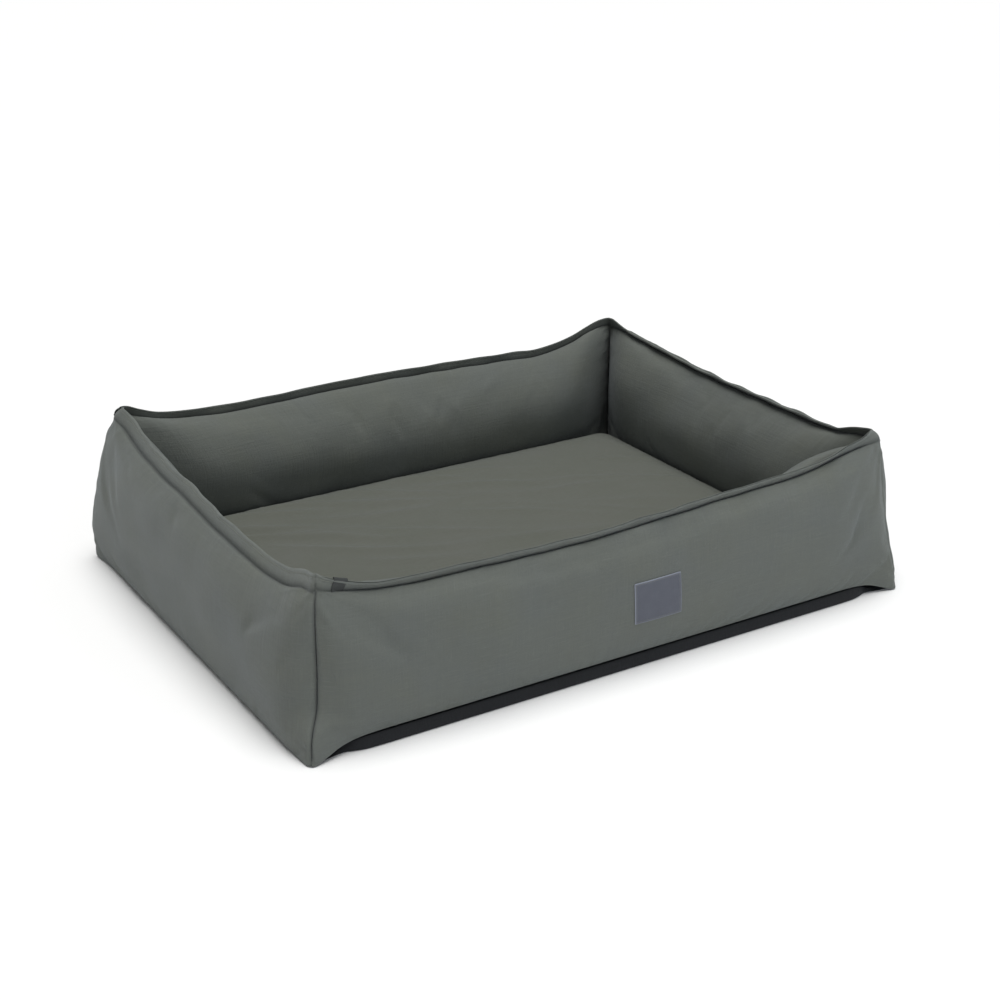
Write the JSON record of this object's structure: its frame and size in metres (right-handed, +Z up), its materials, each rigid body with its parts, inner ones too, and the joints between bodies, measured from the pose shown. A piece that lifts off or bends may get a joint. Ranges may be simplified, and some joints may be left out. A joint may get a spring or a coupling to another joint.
{
  "type": "dog bed with frame",
  "caption": "Rectangular dog bed: padded bolster walls with a stand-up seam, black base sheet and a flat lift-out box cushion with zipped covers.",
  "frame": {"origin": "middle of the base on the floor, under the centre of the bounding box", "axes": "+X along the long side towards the viewer's right when facing the labelled front wall, +Y from the labelled front wall to the back wall, +Z up"},
  "size_m": [1.0394, 0.7739, 0.255],
  "materials": {
    "wall_canvas": "matte",
    "cushion_canvas": "matte",
    "base_cloth": "matte",
    "lining_cloth": "matte",
    "foam": "matte",
    "fibre_wadding": "matte",
    "label_weave": "matte",
    "ribbon": "satin",
    "zip_tape": "matte",
    "zip_metal": "satin"
  },
  "bodies": {
    "surround": {"base_sheet": "base_cloth", "base_lining": "lining_cloth", "front_outer_panel": "wall_canvas", "front_inner_panel": "wall_canvas", "front_wall_foam": "foam", "front_zip_tape": "zip_tape", "right_outer_panel": "wall_canvas", "right_inner_panel": "wall_canvas", "right_wall_foam": "foam", "right_zip_tape": "zip_tape", "back_outer_panel": "wall_canvas", "back_inner_panel": "wall_canvas", "back_wall_foam": "foam", "back_zip_tape": "zip_tape", "left_outer_panel": "wall_canvas", "left_inner_panel": "wall_canvas", "left_wall_foam": "foam", "left_zip_tape": "zip_tape", "label_patch": "label_weave", "ribbon_tab": "ribbon"},
    "cushion": {"cushion_bottom_panel": "cushion_canvas", "cushion_band": "cushion_canvas", "cushion_foam": "foam", "cushion_topper": "fibre_wadding", "cushion_top_panel": "cushion_canvas", "cushion_zip_tape": "zip_tape"},
    "front_slider": {"front_zip_slider": "zip_metal"},
    "front_pull": {"front_zip_pull": "zip_metal"},
    "right_slider": {"right_zip_slider": "zip_metal"},
    "right_pull": {"right_zip_pull": "zip_metal"},
    "back_slider": {"back_zip_slider": "zip_metal"},
    "back_pull": {"back_zip_pull": "zip_metal"},
    "left_slider": {"left_zip_slider": "zip_metal"},
    "left_pull": {"left_zip_pull": "zip_metal"},
    "cushion_slider": {"cushion_zip_slider": "zip_metal"},
    "cushion_pull": {"cushion_zip_pull": "zip_metal"}
  },
  "joints": [
    {"name": "cushion_lift", "type": "slide", "parent": "surround", "child": "cushion", "axis": [0, 0, 1], "range_m": [0, 0.3]},
    {"name": "front_zip_run", "type": "slide", "parent": "surround", "child": "front_slider", "axis": [1, 0, 0], "range_m": [-0.552, 0.008]},
    {"name": "front_pull_flip", "type": "hinge", "parent": "front_slider", "child": "front_pull", "pos_m": [0.274, -0.3062, 0.01975], "axis": [0, 0, 1], "range_deg": [0, 180]},
    {"name": "right_zip_run", "type": "slide", "parent": "surround", "child": "right_slider", "axis": [0, 1, 0], "range_m": [-0.312, 0.008]},
    {"name": "right_pull_flip", "type": "hinge", "parent": "right_slider", "child": "right_pull", "pos_m": [0.4262, 0.154, 0.01975], "axis": [0, 0, 1], "range_deg": [0, 180]},
    {"name": "back_zip_run", "type": "slide", "parent": "surround", "child": "back_slider", "axis": [-1, 0, 0], "range_m": [-0.552, 0.008]},
    {"name": "back_pull_flip", "type": "hinge", "parent": "back_slider", "child": "back_pull", "pos_m": [-0.274, 0.3062, 0.01975], "axis": [0, 0, 1], "range_deg": [0, 180]},
    {"name": "left_zip_run", "type": "slide", "parent": "surround", "child": "left_slider", "axis": [0, -1, 0], "range_m": [-0.312, 0.008]},
    {"name": "left_pull_flip", "type": "hinge", "parent": "left_slider", "child": "left_pull", "pos_m": [-0.4262, -0.154, 0.01975], "axis": [0, 0, 1], "range_deg": [0, 180]},
    {"name": "cushion_zip_run", "type": "slide", "parent": "cushion", "child": "cushion_slider", "axis": [1, 0, 0], "range_m": [-0.464, 0.008]},
    {"name": "cushion_pull_flip", "type": "hinge", "parent": "cushion_slider", "child": "cushion_pull", "pos_m": [0.23, 0.2826, 0.044], "axis": [0, 0, 1], "range_deg": [0, 180]}
  ]
}
